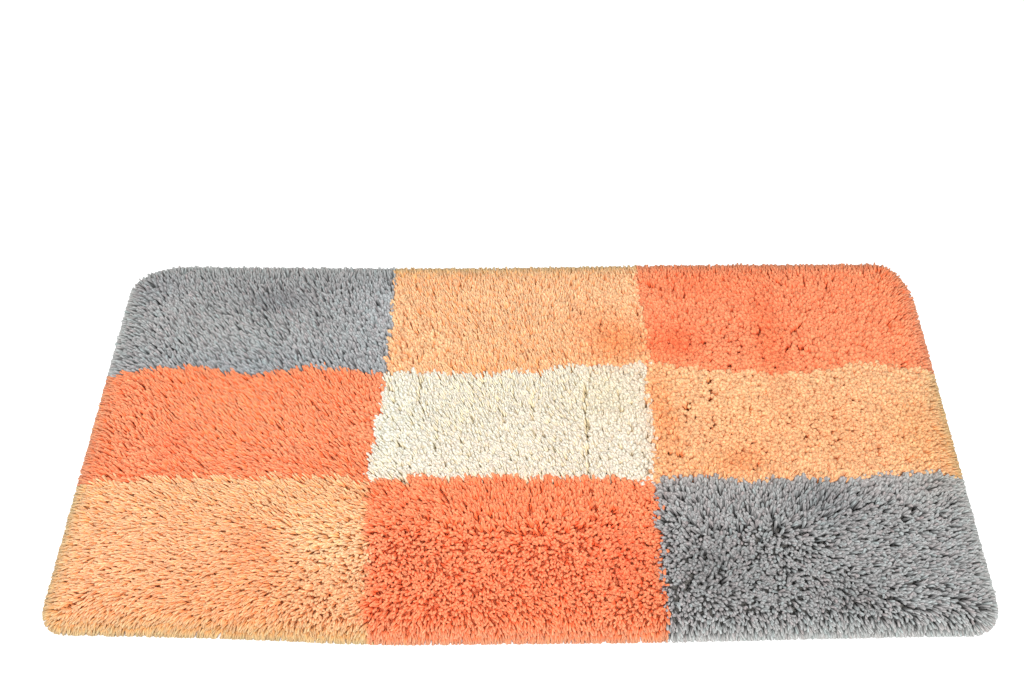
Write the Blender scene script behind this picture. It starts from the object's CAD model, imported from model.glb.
# %% [markdown]
# # A shag rug in nine blocks of yarn
# The real thing is one woven ground cloth with thousands of short cut yarns knotted into it. The
# yarns stand about 28 mm high, lean together in clumps, and fall outward over the cloth's edge.
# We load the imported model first. Its one solid says how far the rug reaches, and every size below
# is worked out from that reach.

# %% Load the frame
import math

import bmesh
import bpy
import numpy as np
from mathutils import Matrix, Vector


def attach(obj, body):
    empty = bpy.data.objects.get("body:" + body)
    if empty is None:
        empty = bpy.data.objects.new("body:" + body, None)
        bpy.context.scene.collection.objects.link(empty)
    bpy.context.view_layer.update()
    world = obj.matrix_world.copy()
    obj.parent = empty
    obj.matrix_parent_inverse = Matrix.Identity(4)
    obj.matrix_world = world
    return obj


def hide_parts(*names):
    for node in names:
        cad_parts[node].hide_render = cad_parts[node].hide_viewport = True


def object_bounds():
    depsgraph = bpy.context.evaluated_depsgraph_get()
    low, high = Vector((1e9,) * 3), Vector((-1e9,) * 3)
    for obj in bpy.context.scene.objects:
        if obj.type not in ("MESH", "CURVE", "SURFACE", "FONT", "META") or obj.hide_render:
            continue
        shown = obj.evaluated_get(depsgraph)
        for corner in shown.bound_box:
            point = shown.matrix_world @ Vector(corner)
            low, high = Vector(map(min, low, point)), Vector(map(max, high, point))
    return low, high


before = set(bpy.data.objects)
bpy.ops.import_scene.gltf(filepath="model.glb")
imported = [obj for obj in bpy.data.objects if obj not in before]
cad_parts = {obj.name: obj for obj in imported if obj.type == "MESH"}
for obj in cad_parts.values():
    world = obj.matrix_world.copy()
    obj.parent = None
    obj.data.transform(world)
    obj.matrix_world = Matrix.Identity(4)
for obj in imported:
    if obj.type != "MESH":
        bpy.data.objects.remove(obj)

cad_low, cad_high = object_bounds()
LENGTH = cad_high.x - cad_low.x
DEPTH = cad_high.y - cad_low.y
print(f"{len(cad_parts)} solid, {LENGTH:.3f} by {DEPTH:.3f} by {cad_high.z:.4f} m")


def add_object(name, data):
    """Put a new object with this data into the scene."""
    made = bpy.data.objects.new(name, data)
    bpy.context.scene.collection.objects.link(made)
    return made


# %% [markdown]
# ## Camera
# The photograph was taken by someone standing in front of the rug and looking down at it. Fitting
# the rug's sides to the picture gives the height, the tilt and the lens, so the camera is set from
# those few numbers. A camera could also be aimed with a Track To constraint, but plain rotations
# keep the small twist of a hand-held picture.

# %% Camera
# Metres, then degrees, then millimetres
CAMERA_PLACE = (0.011, -0.970, 1.540)
CAMERA_DOWN = 53.0
CAMERA_LEFT = 1.15
CAMERA_TWIST = -1.06
CAMERA_LENS = 38.67
CAMERA_SENSOR = 36.0

camera_data = bpy.data.cameras.new("camera")
camera_data.lens = CAMERA_LENS
camera_data.sensor_width = CAMERA_SENSOR
camera = add_object("camera", camera_data)
camera.matrix_world = (
    Matrix.Translation(CAMERA_PLACE)
    @ Matrix.Rotation(math.radians(CAMERA_LEFT), 4, "Z")
    @ Matrix.Rotation(math.radians(90.0 - CAMERA_DOWN), 4, "X")
    @ Matrix.Rotation(math.radians(CAMERA_TWIST), 4, "Z")
)
bpy.context.scene.camera = camera
print(f"camera {CAMERA_PLACE[2]} m above the floor, looking {CAMERA_DOWN} degrees down")

# %% [markdown]
# ## The outline in plan
# A rug that has been walked on isn't a true rectangle. Its corners are rounded, each by its own
# amount, and the long edges swell or sag by a centimetre. We write the outline as four quarter
# ellipses joined by straight runs, and then push the long edges with a few soft bumps. A traced
# outline would need a hundred points and could not be resized.

# %% Outline in plan
CORNERS = (
    # x side, y side, reach along X, reach along Y
    (-1, -1, 0.036, 0.036),
    (1, -1, 0.044, 0.044),
    (1, 1, 0.050, 0.095),
    (-1, 1, 0.090, 0.058),
)
SWELLS = (
    # y side, centre in X, half width, push outward
    (-1, 0.00, 0.70, 0.012),
    (-1, -0.20, 0.22, 0.004),
    (1, -0.15, 0.55, -0.006),
)
SWELL_TOTAL = 0.015
ARC_STEPS = 14


def stray(points):
    """Push points of the plan by the swell of the long edge that they lie towards."""
    points = np.array(points, float)
    shift = np.zeros(len(points))
    for y_side, centre, half_width, push in SWELLS:
        reach = np.clip((points[:, 0] - centre) / half_width, -1.0, 1.0)
        towards = np.clip(0.5 + y_side * points[:, 1] / DEPTH, 0.0, None)
        shift += y_side * push * (1.0 - reach**2) ** 2 * towards
    points[:, 1] += shift
    return points


def rim_line(inset, shift):
    """The rug's outline, anticlockwise, drawn in by the inset and shifted towards the back."""
    half = np.array([LENGTH / 2, (DEPTH - SWELL_TOTAL) / 2]) - inset
    arcs = []
    for x_side, y_side, along_x, along_y in CORNERS:
        radius = np.array([along_x, along_y]) - inset
        centre = np.array([x_side, y_side]) * (half - radius)
        middle = math.atan2(y_side, x_side)
        angle = middle + np.linspace(-0.25, 0.25, ARC_STEPS) * math.pi
        arcs.append(centre + radius * np.stack([np.cos(angle), np.sin(angle)], 1))
    line = []
    for number, arc in enumerate(arcs):
        following = arcs[(number + 1) % len(arcs)]
        share = np.linspace(0.0, 1.0, ARC_STEPS)[:-1, None]
        line += [arc[:-1], arc[-1] + (following[0] - arc[-1]) * share]
    return stray(np.concatenate(line)) + np.array([0.0, shift])


def inside(points, line):
    """Distance in from a closed line, less than zero outside it, and the way out across it."""
    nearest = np.full(len(points), LENGTH)
    signed = np.zeros(len(points))
    way_out = np.zeros((len(points), 2))
    for start, end in zip(line, np.roll(line, -1, axis=0)):
        run = end - start
        share = np.clip((points - start) @ run / (run @ run), 0.0, 1.0)
        gap = start + share[:, None] * run - points
        distance = np.hypot(gap[:, 0], gap[:, 1])
        closer = distance < nearest
        side = np.sign(gap[:, 0] * run[1] - gap[:, 1] * run[0])
        nearest[closer] = distance[closer]
        signed[closer] = (side * distance)[closer]
        way_out[closer] = np.array([run[1], -run[0]]) / math.hypot(*run)
    return signed, way_out


GROUND_INSET = 0.010
GROUND_SHIFT = 0.003
ground_line = rim_line(GROUND_INSET, GROUND_SHIFT)
print(f"outline of {len(ground_line)} points, {GROUND_INSET * 1000:.0f} mm inside the pile's reach")

# %% [markdown]
# ## Soft random hills
# Pile is never even: it is combed one way here and another way there. We need smooth random values
# that change slowly over the rug. Blender's noise works one point at a time, so we write a small
# value noise with numpy, which reads fifty thousand points at once: random numbers on a lattice,
# blended smoothly between its corners. Two such readings make an arrow that changes slowly.

# %% Soft random hills
LATTICE = 64


def hills(points, size, seed):
    """Smooth random values from -1 to 1, with hills about one size across."""
    table = np.random.default_rng(seed).uniform(-1.0, 1.0, (LATTICE, LATTICE))
    at = points / size + LATTICE / 2
    low = np.floor(at).astype(int)
    share = at - low
    share = share * share * (3.0 - 2.0 * share)
    x0, y0 = (low % LATTICE).T
    x1, y1 = ((low + 1) % LATTICE).T
    near = table[x0, y0] + (table[x1, y0] - table[x0, y0]) * share[:, 0]
    far = table[x0, y1] + (table[x1, y1] - table[x0, y1]) * share[:, 0]
    return near + (far - near) * share[:, 1]


def hill_arrows(points, size, seeds):
    """Smooth random arrows in the plan: X and Y are each read from hills of their own."""
    return np.stack([hills(points, size, seed) for seed in seeds], 1)


# %% [markdown]
# ## Where the yarns stand
# On the real rug each knot holds a few yarns, and the knots sit in rows. Rows that are shifted by
# half a step, like the cells of a honeycomb, cover the cloth best, so the yarns stand 4.5 mm apart
# in such rows, and each is moved a little at random. Yarns that would fall outside the ground cloth
# are dropped. One more row stands close together along the border, to give the rim a full edge.

# %% Where the yarns stand
YARN_PITCH = 0.0045
ROW_PITCH = YARN_PITCH * math.sqrt(0.75)
BORDER_PITCH = 0.0023
BORDER_INSET = 0.002
LEAST_INSET = 0.001
YARN_SCATTER = 0.28
SEED = 7


def along_line(line, pitch):
    """Places at equal steps along a closed line."""
    closed = np.vstack([line, line[:1]])
    steps = np.hypot(*np.diff(closed, axis=0).T)
    lengths = np.concatenate([[0.0], np.cumsum(steps)])
    wanted = np.arange(0.0, lengths[-1], pitch)
    return np.stack([np.interp(wanted, lengths, closed[:, axis]) for axis in (0, 1)], 1)


chance = np.random.default_rng(SEED)
columns = np.arange(-LENGTH / 2, LENGTH / 2, YARN_PITCH)
rows = np.arange(-DEPTH / 2, DEPTH / 2, ROW_PITCH)
roots = np.stack(np.meshgrid(columns, rows), -1)
roots[1::2, :, 0] += YARN_PITCH / 2
roots = roots.reshape(-1, 2)
roots += chance.uniform(-YARN_SCATTER, YARN_SCATTER, roots.shape) * YARN_PITCH
border_line = rim_line(GROUND_INSET + BORDER_INSET, GROUND_SHIFT)
roots = np.concatenate([roots, along_line(border_line, BORDER_PITCH)])
edge_distance, way_out = inside(roots, ground_line)
kept = edge_distance > LEAST_INSET
roots, edge_distance, way_out = roots[kept], edge_distance[kept], way_out[kept]
count = len(roots)
print(f"{count} yarns, one for each {LENGTH * DEPTH / count * 1e6:.1f} square millimetres")

# %% [markdown]
# ## Clumps
# Neighbouring yarns cling together, so the pile breaks up into clumps two or three centimetres
# across with dark gaps between them. Each clump gets a centre on a loose grid, and each yarn finds
# its nearest centre among the nine around it. The yarn will later lean towards that centre.

# %% Clumps
CLUMP_SIZE = 0.021
CLUMP_JITTER = 0.42
MIX_X = 73856093
MIX_Y = 19349663
PRIME_X = 1009
PRIME_Y = 1013


def clump_centres(cells):
    """The place of each cell's clump. Big primes mix the cell's numbers into a fixed random step."""
    mixed = (cells[..., 0] * MIX_X) ^ (cells[..., 1] * MIX_Y)
    share_x = (mixed % PRIME_X) / PRIME_X
    share_y = (mixed // PRIME_X % PRIME_Y) / PRIME_Y
    step = np.stack([share_x, share_y], -1) * 2.0 - 1.0
    return (cells + 0.5 + step * CLUMP_JITTER) * CLUMP_SIZE


home = np.floor(roots / CLUMP_SIZE).astype(np.int64)
clump = np.zeros_like(roots)
clump_gap = np.full(count, LENGTH)
for step_x in (-1, 0, 1):
    for step_y in (-1, 0, 1):
        centre = clump_centres(home + np.array([step_x, step_y]))
        gap = np.hypot(*(centre - roots).T)
        closer = gap < clump_gap
        clump_gap[closer] = gap[closer]
        clump[closer] = centre[closer]
clump_count = len(np.unique(np.round(clump, 6), axis=0))
print(f"{clump_count} clumps")

# %% [markdown]
# ## How the pile leans
# Near the edge the yarns have nothing to hold them up, so they fall outward. Inside, feet have
# combed the pile in patches, which are measured off the photograph. We add up the pulls on each
# yarn as an arrow in the plan: outward at the edge, the combed patches, a slow random pull, the
# pull of its clump and a little of its own. The arrow's length says how far the yarn bends over.
# The front is still fresh, so its yarns go their own way. The right side has been trodden down, and
# is felted: its yarns stand thick and even. The partings are lines where the pile splits in two.

# %% How the pile leans
COMBED = (
    # x, y, half width along X, along Y, pull along X, pull along Y
    (-0.50, 0.22, 0.22, 0.22, -0.45, 0.40),
    (-0.45, 0.02, 0.20, 0.20, -0.50, 0.45),
    (-0.05, 0.24, 0.20, 0.20, -0.15, 0.55),
    (0.45, 0.24, 0.22, 0.22, 0.00, 0.25),
    (0.00, 0.02, 0.22, 0.14, -0.28, 0.50),
    (0.45, 0.00, 0.20, 0.20, 0.05, -0.45),
    (-0.52, -0.22, 0.18, 0.18, -0.80, -0.35),
    (-0.30, -0.18, 0.12, 0.12, -0.35, -0.25),
    (-0.45, -0.12, 0.22, 0.05, -0.20, 0.45),
    (0.00, -0.13, 0.20, 0.06, -0.05, 0.40),
    (0.00, -0.28, 0.20, 0.10, 0.05, -0.30),
    (0.45, -0.13, 0.22, 0.05, 0.00, 0.65),
    (0.58, -0.22, 0.14, 0.18, 0.35, -0.12),
)
LEAST_LEAN = 0.35
MOST_LEAN = 1.05
FRESH_FROM = (-0.16, -0.08)
FRESH_LEAN = 0.26
# x, y, half width along X, along Y
FELTED = (0.42, 0.08, 0.36, 0.17)
FALL_REACH = 0.015
FALL_PULL = 1.20
RIM_REACH = 0.035
RIM_PULL = 0.65
PATCH_SIZE = 0.075
PATCH_SEEDS = (11, 12)
PATCH_PULL = 0.27
CLUMP_HILLS = 0.012
CLUMP_SEEDS = (13, 14)
CLUMP_LEAN = 0.09
CLUMP_PULL = 0.13
OWN_PULL = 0.10
# How much more or less the random pulls do in fresh, felted and falling pile
OWN_IF_FRESH = 0.6
OWN_IF_FELTED = -0.4
LOOSE_IF_FALLING = -0.7
LOOSE_IF_FELTED = -0.5
PARTINGS = (
    # x, front end, back end
    (0.115, -0.200, 0.075),
    (0.019, -0.170, -0.095),
    (-0.054, 0.070, 0.110),
    (-0.169, -0.140, -0.100),
    (0.030, 0.000, 0.055),
    (-0.163, 0.035, 0.090),
)
PARTING_REACH = 0.007
PARTING_PUSH = 0.25


def soft_oval(place_x, place_y, half_x, half_y):
    """How much each yarn belongs to an oval patch: 1 at its middle, fading out around it."""
    far = ((roots[:, 0] - place_x) / half_x) ** 2 + ((roots[:, 1] - place_y) / half_y) ** 2
    return np.exp(-far)


falling = np.exp(-edge_distance / FALL_REACH)
fresh = np.interp(roots[:, 1], FRESH_FROM, (1.0, 0.0))
felted = soft_oval(*FELTED)
near_rim = np.exp(-edge_distance / RIM_REACH) * (1.0 - felted)
drift = way_out * (FALL_PULL * falling + RIM_PULL * near_rim)[:, None]
for *oval, pull_x, pull_y in COMBED:
    drift += soft_oval(*oval)[:, None] * np.array([pull_x, pull_y])

own = chance.normal(0.0, 1.0, (count, 2))
own *= ((1.0 + OWN_IF_FRESH * fresh) * (1.0 + OWN_IF_FELTED * felted))[:, None]
uneven = PATCH_PULL * hill_arrows(roots, PATCH_SIZE, PATCH_SEEDS)
uneven += CLUMP_LEAN * hill_arrows(clump, CLUMP_HILLS, CLUMP_SEEDS)
uneven += OWN_PULL * own
uneven += CLUMP_PULL * (clump - roots) / CLUMP_SIZE
loose = (1.0 + LOOSE_IF_FALLING * falling) * (1.0 + LOOSE_IF_FELTED * felted)
pull = drift + uneven * loose[:, None]
for place_x, front, back in PARTINGS:
    away = roots[:, 0] - place_x
    near = np.exp(-((away / PARTING_REACH) ** 2)) * (roots[:, 1] > front) * (roots[:, 1] < back)
    pull[:, 0] += PARTING_PUSH * np.sign(away) * near

lean = np.hypot(pull[:, 0], pull[:, 1])
lean_way = pull / lean[:, None]
lean = np.hypot(lean, LEAST_LEAN + FRESH_LEAN * fresh).clip(0.0, MOST_LEAN)
print(f"the yarns lean {lean.mean():.2f} on the whole")

# %% [markdown]
# ## The path of each yarn
# A yarn leaves the cloth fairly upright and bends further over towards its tip. Two straight arms of
# half its length, each at its own angle, make a smooth curve between them: this is a quadratic
# Bezier curve. Points that would sink into the floor are lifted until the yarn lies on it. A cut
# end opens out when it stands up, and looks slim from the side when it lies down. The maker shears
# the rim, so a yarn that would reach past the shear line is shortened until its tip is on it.

# %% The path of each yarn
YARN_LENGTH = 0.0300
LENGTH_LIMITS = (0.85, 1.12)
LENGTH_UNEVEN = 0.03
LENGTH_UNEVEN_INSIDE = 0.05
LENGTH_HILLS = 0.03
LENGTH_SEED = 21
LENGTH_OF_HILLS = 0.05
RIM_SHORTER = 0.03
YARN_RADIUS = 0.0023
RADIUS_LIMITS = (0.75, 1.25)
RADIUS_UNEVEN = 0.10
UPRIGHT_TO_FLAT = (0.40, 0.80)
YARN_WIDTHS = (1.12, 0.76)
TIP_WIDTHS = (1.50, 1.12)
FRESH_WIDER = 0.08
FELTED_WIDER = 0.32
CLOTH_TOP = 0.003
SHEAR_OUT = 0.0040
SHEAR_SHIFT = 0.0020
CURL = 0.0030
CURL_IF_FALLING = -0.4
CURL_IF_FRESH = 0.5
# Degrees from upright of each arm, for a lean of 1 and for a yarn that falls over the edge
FIRST_LEAN = 22.0
LAST_LEAN = 80.0
FIRST_FALL = 24.0
LAST_FALL = 115.0
FRONT_FALL = 27.0
LAST_UNEVEN = 8.0

standing = 1.0 - falling
length_spread = LENGTH_UNEVEN + LENGTH_UNEVEN_INSIDE * standing
yarn_length = YARN_LENGTH * (1.0 + length_spread * chance.normal(0.0, 1.0, count))
yarn_length *= 1.0 + LENGTH_OF_HILLS * hills(roots, LENGTH_HILLS, LENGTH_SEED) * standing
shortest, longest = LENGTH_LIMITS
yarn_length = yarn_length.clip(YARN_LENGTH * shortest, YARN_LENGTH * longest)
yarn_length *= 1.0 - RIM_SHORTER * falling

thickness = 1.0 + RADIUS_UNEVEN * chance.normal(0.0, 1.0, count)
yarn_radius = YARN_RADIUS * thickness.clip(*RADIUS_LIMITS)
yarn_radius *= np.interp(lean, UPRIGHT_TO_FLAT, YARN_WIDTHS)
yarn_radius *= 1.0 + FRESH_WIDER * fresh + FELTED_WIDER * felted
tip_width = np.interp(lean, UPRIGHT_TO_FLAT, TIP_WIDTHS)

last_fall = LAST_FALL + FRONT_FALL * np.clip(-way_out[:, 1], 0.0, 1.0)
first_angle = np.radians(lean * FIRST_LEAN * standing + FIRST_FALL * falling)
last_angle = np.radians(lean * LAST_LEAN * standing + last_fall * falling)
last_angle += np.radians(LAST_UNEVEN) * chance.normal(0.0, 1.0, count)
curl = CURL * chance.normal(0.0, 1.0, count)
curl *= 1.0 + CURL_IF_FALLING * falling
curl *= 1.0 + CURL_IF_FRESH * fresh


def yarn_points(chosen, shares):
    """Points along the chosen yarns, at the given shares of the way to the tip."""
    way = lean_way[chosen]
    aside = np.stack([-way[:, 1], way[:, 0]], 1)
    half = yarn_length[chosen][:, None] / 2
    first = first_angle[chosen][:, None]
    last = last_angle[chosen][:, None]
    root = np.column_stack([roots[chosen], np.full(len(way), CLOTH_TOP / 2)])
    bend = root + half * np.column_stack([way * np.sin(first), np.cos(first)])
    tip = bend + half * np.column_stack([way * np.sin(last), np.cos(last)])
    tip[:, :2] += aside * curl[chosen][:, None]
    points = []
    for share in shares:
        back = (1.0 - share) ** 2
        middle = 2.0 * share * (1.0 - share)
        points.append(back * root + middle * bend + share**2 * tip)
    path = np.stack(points, 1)
    lowest = yarn_radius[chosen][:, None]
    path[:, :, 2] = np.maximum(path[:, :, 2], lowest)
    return path


shear_line = rim_line(-SHEAR_OUT, SHEAR_SHIFT)
ends = yarn_points(np.arange(count), (1.0,))[:, 0]
past = np.clip(-inside(ends[:, :2], shear_line)[0], 0.0, None)
yarn_length *= 1.0 - past / np.hypot(*(ends[:, :2] - roots).T)
print(f"{int((past > 0.0).sum())} yarns sheared at the rim")
print(f"tips from {ends[:, 2].min() * 1000:.1f} to {ends[:, 2].max() * 1000:.1f} mm above the floor")

# %% [markdown]
# ## The chart of blocks
# The maker's chart has three columns and three rows of blocks in four yarns. The photograph shows
# where the tips of two blocks meet, so each seam is a bent line through a few measured places, and
# a yarn belongs to the block that its tip lies in. The seams also wander by a few millimetres,
# because a knot is either one colour or the other.

# %% The chart of blocks
SEAM_COLUMNS = (
    # y, x along each seam
    (
        (-0.36, -0.219), (-0.19, -0.230), (-0.08, -0.236), (0.05, -0.226), (0.11, -0.221),
        (0.17, -0.221), (0.34, -0.225),
    ),
    (
        (-0.36, 0.215), (-0.20, 0.222), (-0.12, 0.226), (-0.09, 0.221), (-0.02, 0.215),
        (0.09, 0.211), (0.13, 0.217), (0.34, 0.218),
    ),
)
SEAM_ROWS = (
    # x, y along each seam
    (
        (-0.69, -0.102), (-0.57, -0.094), (-0.50, -0.096), (-0.40, -0.090), (-0.31, -0.094),
        (-0.24, -0.098), (-0.19, -0.101), (-0.04, -0.093), (0.12, -0.104), (0.19, -0.102),
        (0.29, -0.106), (0.39, -0.110), (0.56, -0.098), (0.69, -0.088),
    ),
    (
        (-0.69, 0.107), (-0.62, 0.118), (-0.56, 0.119), (-0.47, 0.113), (-0.33, 0.117),
        (-0.25, 0.101), (-0.15, 0.104), (0.04, 0.109), (0.21, 0.117), (0.23, 0.112),
        (0.44, 0.106), (0.59, 0.122), (0.69, 0.110),
    ),
)
BLOCKS = (
    # front row, middle row, back row, from left to right
    ("peach", "coral", "grey"),
    ("coral", "cream", "peach"),
    ("grey", "peach", "coral"),
)
SEAM_HILLS = 0.022
SEAM_SEEDS = (31, 32)
SEAM_WANDER = 0.005
SEAM_STRAYS = 0.0012
TIP_REACH = 0.014


def past_seams(along, across, seams):
    """How many of the seams each point has passed."""
    passed = np.zeros(len(along), int)
    for seam in seams:
        places, values = np.array(seam).T
        passed += across > np.interp(along, places, values)
    return passed


wander = SEAM_WANDER * hill_arrows(roots, SEAM_HILLS, SEAM_SEEDS)
wander += SEAM_STRAYS * own
tips = roots + drift.clip(-1.0, 1.0) * TIP_REACH + wander
block_column = past_seams(tips[:, 1], tips[:, 0], SEAM_COLUMNS)
block_row = past_seams(tips[:, 0], tips[:, 1], SEAM_ROWS)
for row, names in enumerate(BLOCKS):
    in_row = np.bincount(block_column[block_row == row], minlength=len(names))
    print("row", row, dict(zip(names, in_row.tolist())))

# %% [markdown]
# ## Tints
# Old dyed yarn isn't even in colour: each yarn differs a little, some patches are deeper or have
# faded, and the outer yarns have yellowed. We give each yarn one tint, as a colour that multiplies
# the dye. The patches are soft ovals, so a deeper one is one line of the table.

# %% Tints
PATCHES = (
    # x, y, half width along X, along Y, red, green, blue
    (0.170, 0.160, 0.060, 0.050, 0.99, 0.66, 0.50),
    (0.130, 0.210, 0.050, 0.040, 0.98, 0.88, 0.82),
    (0.276, 0.162, 0.040, 0.035, 0.98, 0.64, 0.55),
    (0.323, 0.285, 0.070, 0.035, 1.00, 0.85, 0.80),
    (0.430, 0.180, 0.030, 0.090, 0.99, 0.78, 0.70),
    (0.235, 0.010, 0.025, 0.090, 0.98, 0.78, 0.66),
    (0.355, -0.060, 0.040, 0.030, 0.96, 0.78, 0.68),
    (0.360, 0.030, 0.050, 0.080, 1.03, 1.06, 1.06),
    (0.640, -0.020, 0.040, 0.090, 0.93, 0.90, 0.82),
    (-0.270, -0.205, 0.070, 0.040, 1.04, 1.24, 1.34),
    (0.160, -0.235, 0.040, 0.050, 0.98, 0.76, 0.74),
    (0.286, -0.249, 0.040, 0.030, 0.80, 0.80, 0.80),
    (-0.450, 0.000, 0.220, 0.100, 1.04, 1.20, 1.34),
    (-0.020, 0.240, 0.200, 0.110, 1.00, 1.07, 1.14),
    (-0.600, -0.220, 0.180, 0.110, 1.04, 1.04, 1.09),
    (0.450, 0.000, 0.250, 0.110, 0.98, 0.86, 0.80),
    (0.320, -0.080, 0.060, 0.030, 0.96, 0.86, 0.78),
    (0.450, 0.240, 0.250, 0.110, 1.00, 0.94, 0.96),
    (-0.547, -0.039, 0.040, 0.030, 1.00, 0.86, 0.84),
    (-0.425, 0.255, 0.050, 0.026, 0.72, 0.72, 0.74),
    (-0.640, 0.290, 0.040, 0.030, 0.82, 0.82, 0.84),
    (-0.500, 0.190, 0.110, 0.060, 1.16, 1.16, 1.15),
    (0.469, -0.148, 0.060, 0.035, 0.78, 0.80, 0.82),
    (0.320, -0.250, 0.110, 0.070, 0.82, 0.82, 0.82),
    (0.490, -0.287, 0.050, 0.030, 0.82, 0.82, 0.82),
    (-0.412, -0.295, 0.160, 0.050, 1.00, 0.92, 0.88),
    (0.000, -0.230, 0.240, 0.120, 1.07, 0.98, 0.98),
    (0.450, -0.230, 0.240, 0.110, 0.95, 0.95, 0.95),
    (-0.450, -0.230, 0.240, 0.110, 0.98, 0.94, 0.95),
    (-0.390, -0.209, 0.035, 0.035, 1.00, 0.80, 0.74),
    (-0.325, -0.170, 0.050, 0.045, 1.02, 1.09, 1.12),
    (0.150, 0.050, 0.060, 0.060, 0.98, 0.97, 0.90),
)
EDGE_TINTS = {
    "grey": (1.18, 1.20, 1.17),
    "peach": (0.69, 0.87, 0.86),
    "coral": (0.78, 1.02, 1.22),
    "cream": (1.00, 1.00, 1.00),
}
EDGE_REACH = 0.020
UNEVEN_SHADE = 0.07
UNEVEN_HUE = 0.04
PALE_UNEVEN = 0.5
TINT_LIMITS = (0.3, 1.3)


def soft_tint(colour, share):
    """What to multiply each yarn's tint by: white where its share is 0, the colour at 1."""
    return 1.0 + (np.array(colour) - 1.0) * share[:, None]


yarn_names = np.array(BLOCKS)[block_row, block_column]
tint = np.ones((count, 3))
for *oval, red, green, blue in PATCHES:
    tint *= soft_tint((red, green, blue), soft_oval(*oval))
edge_share = np.exp(-((edge_distance / EDGE_REACH) ** 2))
for name, edge_tint in EDGE_TINTS.items():
    tint *= soft_tint(edge_tint, (yarn_names == name) * edge_share)
dyed = np.where(yarn_names == "cream", PALE_UNEVEN, 1.0)[:, None]
tint *= 1.0 + UNEVEN_SHADE * dyed * chance.normal(0.0, 1.0, (count, 1))
tint[:, 1:] *= 1.0 + UNEVEN_HUE * dyed * chance.normal(0.0, 1.0, (count, 1))
tint = tint.clip(*TINT_LIMITS)
print(f"tints from {tint.min():.2f} to {tint.max():.2f}")

# %% [markdown]
# ## Yarn
# Light has faded the upper part of each yarn, and its root still has the full, fresh dye, so the
# gaps in the pile glow deeper in colour. The base colour goes from the root's dye to the faded one,
# times each yarn's own tint. The plies are slanting waves, read from a map laid along each yarn.
# They shade its grooves and raise its ridges, so that one yarn looks like a few twisted strands.
# The cloth and the floor need a material, a wave or a bump too, so each of these is a function.

# %% Yarn material
DYES = {
    "grey": (0.358, 0.358, 0.356),
    "peach": (0.735, 0.430, 0.230),
    "coral": (0.762, 0.266, 0.129),
    "cream": (0.660, 0.612, 0.515),
}
ROOT_DYES = {
    "grey": (0.130, 0.130, 0.130),
    "peach": (0.980, 0.400, 0.150),
    "coral": (0.980, 0.190, 0.060),
    "cream": (0.960, 0.820, 0.550),
}
YARN_SURFACE = {
    "Roughness": 0.88,
    "Specular IOR Level": 0.05,
    "Sheen Weight": 0.08,
    "Sheen Roughness": 0.5,
}
FADED_FROM = 0.45
FADED_TO = 0.97
PLIES = 3.0
TWISTS = 2.0
PLY_UNEVEN = 0.8
PLY_GROOVE = 0.72
PLY_RIDGE = 1.15
PLY_DEPTH = 0.0005
PLY_BUMP = 0.5
# How long one slanting wave of Blender's wave texture is at a scale of 1
DIAGONAL_WAVE = math.pi / 5


def new_material(name, settings):
    """A new material, with these settings of its Principled shader."""
    material = bpy.data.materials.new(name)
    material.use_nodes = True
    shader = material.node_tree.nodes["Principled BSDF"]
    for setting, value in settings.items():
        shader.inputs[setting].default_value = value
    return material


def add_wave(material, place, direction, scale, uneven):
    """Add a wave texture, read at the given place. Returns its height."""
    wave = material.node_tree.nodes.new("ShaderNodeTexWave")
    wave.bands_direction = direction
    wave.inputs["Scale"].default_value = scale
    wave.inputs["Distortion"].default_value = uneven
    material.node_tree.links.new(place, wave.inputs["Vector"])
    return wave.outputs["Fac"]


def add_bump(material, height, depth, strength):
    """Raise a material's surface by the given height."""
    nodes = material.node_tree.nodes
    bump = nodes.new("ShaderNodeBump")
    bump.inputs["Strength"].default_value = strength
    bump.inputs["Distance"].default_value = depth
    material.node_tree.links.new(height, bump.inputs["Height"])
    material.node_tree.links.new(bump.outputs["Normal"], nodes["Principled BSDF"].inputs["Normal"])


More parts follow.
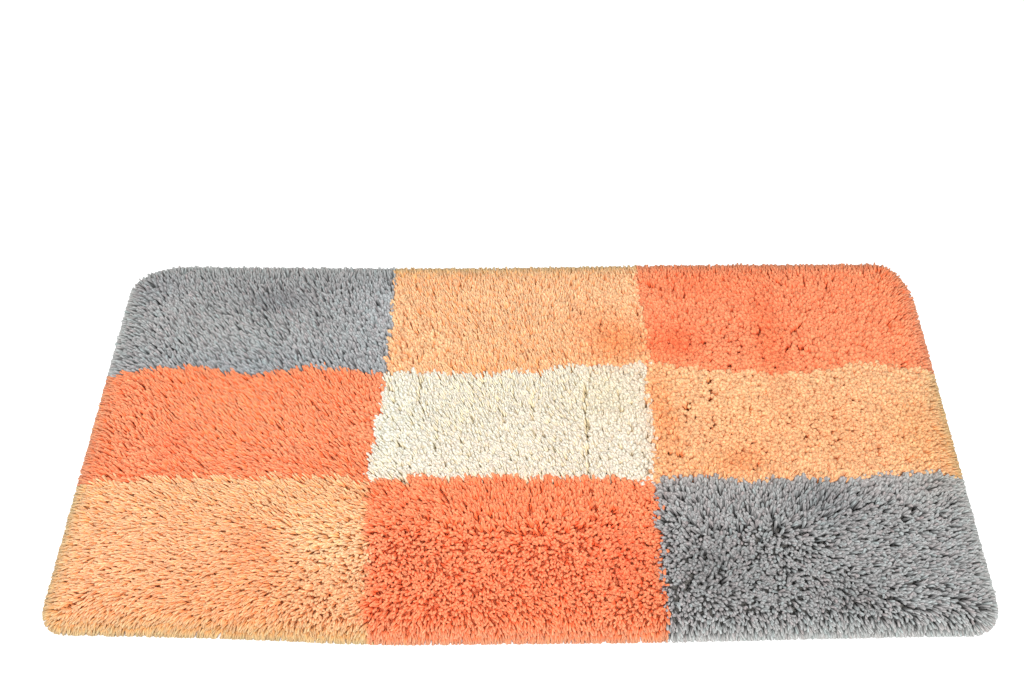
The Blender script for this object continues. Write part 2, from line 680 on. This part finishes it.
def yarn_material(name, dye):
    """Matt twisted wool: the dye of root and tip, each yarn's tint, and slanting plies."""
    material = new_material("yarn_" + name, YARN_SURFACE)
    nodes = material.node_tree.nodes
    link = material.node_tree.links.new
    shader = nodes["Principled BSDF"]
    shader.inputs["Sheen Tint"].default_value = (*dye, 1.0)

    along = nodes.new("ShaderNodeUVMap")
    along.uv_map = "along_yarn"
    turns = nodes.new("ShaderNodeMapping")
    turns.inputs["Scale"].default_value = (PLIES, TWISTS, 1.0)
    link(along.outputs["UV"], turns.inputs["Vector"])
    plies = add_wave(material, turns.outputs["Vector"], "DIAGONAL", DIAGONAL_WAVE, PLY_UNEVEN)
    add_bump(material, plies, PLY_DEPTH, PLY_BUMP)

    height = nodes.new("ShaderNodeSeparateXYZ")
    link(along.outputs["UV"], height.inputs["Vector"])
    faded = nodes.new("ShaderNodeMapRange")
    faded.interpolation_type = "SMOOTHSTEP"
    faded.inputs["From Min"].default_value = FADED_FROM
    faded.inputs["From Max"].default_value = FADED_TO
    link(height.outputs["Y"], faded.inputs["Value"])
    colour = nodes.new("ShaderNodeMix")
    colour.data_type = "RGBA"
    colour.inputs["A"].default_value = (*ROOT_DYES[name], 1.0)
    colour.inputs["B"].default_value = (*dye, 1.0)
    link(faded.outputs["Result"], colour.inputs["Factor"])

    tinted = nodes.new("ShaderNodeAttribute")
    tinted.attribute_name = "tint"
    groove = nodes.new("ShaderNodeMapRange")
    groove.inputs["To Min"].default_value = PLY_GROOVE
    groove.inputs["To Max"].default_value = PLY_RIDGE
    link(plies, groove.inputs["Value"])
    base = colour.outputs["Result"]
    for factor in (tinted.outputs["Color"], groove.outputs["Result"]):
        product = nodes.new("ShaderNodeVectorMath")
        product.operation = "MULTIPLY"
        link(base, product.inputs[0])
        link(factor, product.inputs[1])
        base = product.outputs["Vector"]
    link(base, shader.inputs["Base Color"])
    return material


yarns = {name: yarn_material(name, dye) for name, dye in DYES.items()}
print("yarns:", ", ".join(yarns))

# %% [markdown]
# ## Yarns as one mesh
# Fifty thousand curve objects would choke Blender, and a hair system can't be exported as a mesh. We
# build each block as one mesh from arrays: a ring of four corners at each point of the path, and a
# closed tip. Four corners with smooth shading look round at this size. The map named OFBake gives
# each yarn its own small cell, for baking, and along_yarn carries the plies.

# %% Yarns as one mesh
SIDES = 4
ROOT_WIDTH = 0.90
CELL_STRETCH = 3
CELL_MARGIN = 0.1


def ring_points(path, way, radius, widening, spin):
    """Rings of corners around each point of the paths but the first and the last."""
    run = np.gradient(path, axis=1)[:, 1:-1]
    run /= np.linalg.norm(run, axis=2, keepdims=True)
    side = np.zeros_like(run)
    side[:, :, 0] = -way[:, None, 1]
    side[:, :, 1] = way[:, None, 0]
    other = np.cross(run, side)
    angle = np.arange(SIDES) * 2.0 * math.pi / SIDES + spin[:, None]
    along_side = np.cos(angle)[:, None, :, None] * side[:, :, None, :]
    along_other = np.sin(angle)[:, None, :, None] * other[:, :, None, :]
    share = np.linspace(0.0, 1.0, run.shape[1])
    radius = radius[:, None] * (ROOT_WIDTH + (widening[:, None] - ROOT_WIDTH) * share)
    return path[:, 1:-1, None, :] + radius[:, :, None, None] * (along_side + along_other)


def yarn_faces(shares):
    """Faces of one yarn and the corners of its map: a fan, bands between the rings, a fan."""
    levels = len(shares) - 2
    foot = levels * SIDES
    tip = foot + 1
    faces = []
    corners = []
    for side in range(SIDES):
        after = (side + 1) % SIDES
        left, right = side / SIDES, (side + 1) / SIDES
        middle = (left + right) / 2
        faces.append((foot, after, side))
        corners += [(middle, 0.0), (right, shares[1]), (left, shares[1])]
        for level in range(levels - 1):
            low, high = level * SIDES, (level + 1) * SIDES
            faces.append((low + side, low + after, high + after, high + side))
            below, above = shares[level + 1], shares[level + 2]
            corners += [(left, below), (right, below), (right, above), (left, above)]
        top = (levels - 1) * SIDES
        faces.append((top + side, top + after, tip))
        corners += [(left, shares[-2]), (right, shares[-2]), (middle, 1.0)]
    return faces, np.array(corners)


def yarn_mesh(name, chosen, shares):
    """One mesh of the chosen yarns, with tints and both maps."""
    path = yarn_points(chosen, shares)
    spin = chance.uniform(0.0, 2.0 * math.pi, len(chosen))
    rings = ring_points(path, lean_way[chosen], yarn_radius[chosen], tip_width[chosen], spin)
    number = len(chosen)
    points = np.concatenate([rings.reshape(number, -1, 3), path[:, :1], path[:, -1:]], 1)
    each = points.shape[1]
    faces, one = yarn_faces(shares)

    starts = np.arange(number) * each
    every_face = [tuple(int(start + index) for index in face) for start in starts for face in faces]
    mesh = bpy.data.meshes.new(name)
    mesh.from_pydata(points.reshape(-1, 3).tolist(), [], every_face)

    along = np.tile(one, (number, 1))
    across = math.ceil(math.sqrt(number * CELL_STRETCH))
    down = math.ceil(number / across)
    cell = np.stack([np.arange(number) % across, np.arange(number) // across], 1)
    inset = CELL_MARGIN + (1.0 - 2.0 * CELL_MARGIN) * one
    baked = (cell[:, None, :] + inset[None, :, :]) / np.array([across, down])
    for map_name, values in (("OFBake", baked.reshape(-1, 2)), ("along_yarn", along)):
        layer = mesh.uv_layers.new(name=map_name)
        layer.uv.foreach_set("vector", values.astype(np.float32).ravel())

    colours = mesh.color_attributes.new("tint", "FLOAT_COLOR", "POINT")
    values = np.ones((number, each, 4), np.float32)
    values[:, :, :3] = tint[chosen][:, None, :]
    colours.data.foreach_set("color", values.ravel())
    mesh.shade_smooth()
    return mesh


def join_meshes(name, meshes):
    """Join several meshes into one object, keeping their maps and tints."""
    first, *others = [add_object(name, mesh) for mesh in meshes]
    if others:
        with bpy.context.temp_override(
            active_object=first,
            selected_editable_objects=[first, *others],
            selected_objects=[first, *others],
            object=first,
        ):
            bpy.ops.object.join()
    return first


# %% [markdown]
# ## The nine blocks of pile
# Yarns inside the rug only show their upper half, so three points are enough for them. The yarns at
# the rim lie in full view and bend right over, so they get one point more.

# %% The nine blocks of pile
ROW_NAMES = ("front", "middle", "back")
COLUMN_NAMES = ("left", "centre", "right")
RIM_ZONE = 0.030
INNER_SHARES = (0.0, 0.5, 0.93, 1.0)
RIM_SHARES = (0.0, 0.32, 0.64, 0.96, 1.0)

triangles = 0
for row, row_name in enumerate(ROW_NAMES):
    for column, column_name in enumerate(COLUMN_NAMES):
        yarn = BLOCKS[row][column]
        name = f"pile_{row_name}_{column_name}_{yarn}"
        here = (block_row == row) & (block_column == column)
        rim_yarns = np.flatnonzero(here & (edge_distance < RIM_ZONE))
        inner_yarns = np.flatnonzero(here & (edge_distance >= RIM_ZONE))
        meshes = [yarn_mesh(name, inner_yarns, INNER_SHARES)]
        if len(rim_yarns):
            meshes.append(yarn_mesh(name, rim_yarns, RIM_SHARES))
        block = join_meshes(name, meshes)
        block.data.materials.append(yarns[yarn])
        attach(block, "root")
        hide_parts("shag_rug")
        size = sum(len(face.vertices) - 2 for face in block.data.polygons)
        triangles += size
        print(f"{name}: {len(rim_yarns) + len(inner_yarns)} yarns, {size} triangles")
print(f"{triangles} triangles of pile")

# %% [markdown]
# ## Ground cloth
# Under the pile lies a plain woven cloth, 3 mm thick. It only shows from below and faintly between
# the yarns, so it is a thin closed sheet with the rug's outline, and its weave is a bump. Knots
# cover its top, so that takes their dyes. It is declared as a laid sheet.

# %% Ground cloth
WEAVE_PITCH = 0.004
WEAVE_UNEVEN = 1.2
WEAVE_DEPTH = 0.0008
WEAVE_BUMP = 1.0
# How long one straight wave of the texture is at a scale of 1
STRAIGHT_WAVE = 0.314
CLOTH_SURFACE = {
    "Roughness": 0.95,
    "Specular IOR Level": 0.05,
}
CLOTH_COLOUR = (0.64, 0.56, 0.43)
KNOTS_ABOVE = 0.9
KNOTS_BELOW = 0.3
CLOTH_COLUMNS = [float(np.mean([across for _, across in seam])) for seam in SEAM_COLUMNS]
CLOTH_ROWS = [float(np.mean([across for _, across in seam])) for seam in SEAM_ROWS]


def cloth_material():
    """Unbleached plain weave: two crossed waves make the over and under of the threads."""
    material = new_material("ground_cloth", CLOTH_SURFACE)
    nodes = material.node_tree.nodes
    link = material.node_tree.links.new
    shown = nodes.new("ShaderNodeAttribute")
    shown.attribute_name = "tint"
    link(shown.outputs["Color"], nodes["Principled BSDF"].inputs["Base Color"])
    place = nodes.new("ShaderNodeTexCoord").outputs["Object"]
    scale = STRAIGHT_WAVE / WEAVE_PITCH
    woven = nodes.new("ShaderNodeMath")
    woven.operation = "MULTIPLY"
    link(add_wave(material, place, "X", scale, WEAVE_UNEVEN), woven.inputs[0])
    link(add_wave(material, place, "Y", scale, WEAVE_UNEVEN), woven.inputs[1])
    add_bump(material, woven.outputs["Value"], WEAVE_DEPTH, WEAVE_BUMP)
    return material


def thin_sheet(name, line, thickness):
    """A closed sheet on the floor with the given outline, cut along the seams of the chart."""
    sheet = bmesh.new()
    low = [sheet.verts.new((x, y, 0.0)) for x, y in line]
    high = [sheet.verts.new((x, y, thickness)) for x, y in line]
    sheet.faces.new(reversed(low))
    sheet.faces.new(high)
    for index in range(len(line)):
        after = (index + 1) % len(line)
        sheet.faces.new((low[index], low[after], high[after], high[index]))
    cuts = [((x, 0.0, 0.0), (1.0, 0.0, 0.0)) for x in CLOTH_COLUMNS]
    cuts += [((0.0, y, 0.0), (0.0, 1.0, 0.0)) for y in CLOTH_ROWS]
    for place, normal in cuts:
        everything = sheet.verts[:] + sheet.edges[:] + sheet.faces[:]
        bmesh.ops.bisect_plane(sheet, geom=everything, plane_co=place, plane_no=normal)
    mesh = bpy.data.meshes.new(name)
    sheet.to_mesh(mesh)
    sheet.free()
    return add_object(name, mesh)


def tint_cloth(mesh):
    """Colour each face by its block: fully on top, faintly below, where the knots show through."""
    colours = mesh.color_attributes.new("tint", "FLOAT_COLOR", "CORNER")
    for face in mesh.polygons:
        column = sum(face.center.x > seam for seam in CLOTH_COLUMNS)
        row = sum(face.center.y > seam for seam in CLOTH_ROWS)
        dye = np.array(ROOT_DYES[BLOCKS[row][column]])
        share = KNOTS_ABOVE if face.normal.z > 0.5 else KNOTS_BELOW
        shade = np.array(CLOTH_COLOUR) * (1.0 - share) + dye * share
        for corner in face.loop_indices:
            colours.data[corner].color = (*shade, 1.0)


ground = thin_sheet("ground_cloth", ground_line, CLOTH_TOP)
tint_cloth(ground.data)
ground.data.materials.append(cloth_material())
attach(ground, "root")
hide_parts("shag_rug")

# %% [markdown]
# ## Floor and light
# The photograph is a bright studio picture on white, with hardly any shadow. The main light stands
# far behind the camera and shines the way it looks, so the gaps that it sees are lit too. A faint
# soft light hangs over the rug, and the white world fills the shadows.

# %% Floor and light
FLOOR_SIZE = 14.0
FLOOR_DROP = 0.0005
FLOOR_SURFACE = {
    "Base Color": (0.93, 0.93, 0.93, 1.0),
    "Roughness": 0.9,
}
WORLD_COLOUR = (1.0, 1.0, 1.0, 1.0)
WORLD_STRENGTH = 0.57
LIGHTS = (
    # name, size, power, x, y, z
    ("overhead", 2.4, 14.0, -0.3, 0.2, 2.3),
    ("behind_camera", 2.2, 410.0, 0.0, -3.20, 5.10),
)

bpy.ops.mesh.primitive_plane_add(size=FLOOR_SIZE, location=(0.0, 0.0, -FLOOR_DROP))
floor = bpy.context.object
floor.name = "floor"
floor.data.materials.append(new_material("floor_white", FLOOR_SURFACE))

world = bpy.data.worlds.new("studio")
world.use_nodes = True
background = world.node_tree.nodes["Background"]
background.inputs["Color"].default_value = WORLD_COLOUR
background.inputs["Strength"].default_value = WORLD_STRENGTH
bpy.context.scene.world = world
bpy.context.scene.view_settings.view_transform = "Standard"

for light_name, size, power, *place in LIGHTS:
    light_data = bpy.data.lights.new(light_name, "AREA")
    light_data.size = size
    light_data.energy = power
    light = add_object(light_name, light_data)
    light.location = place
    light.rotation_euler = (-Vector(place)).to_track_quat("-Z", "Y").to_euler()
print(f"{len(LIGHTS)} lights and a white world")
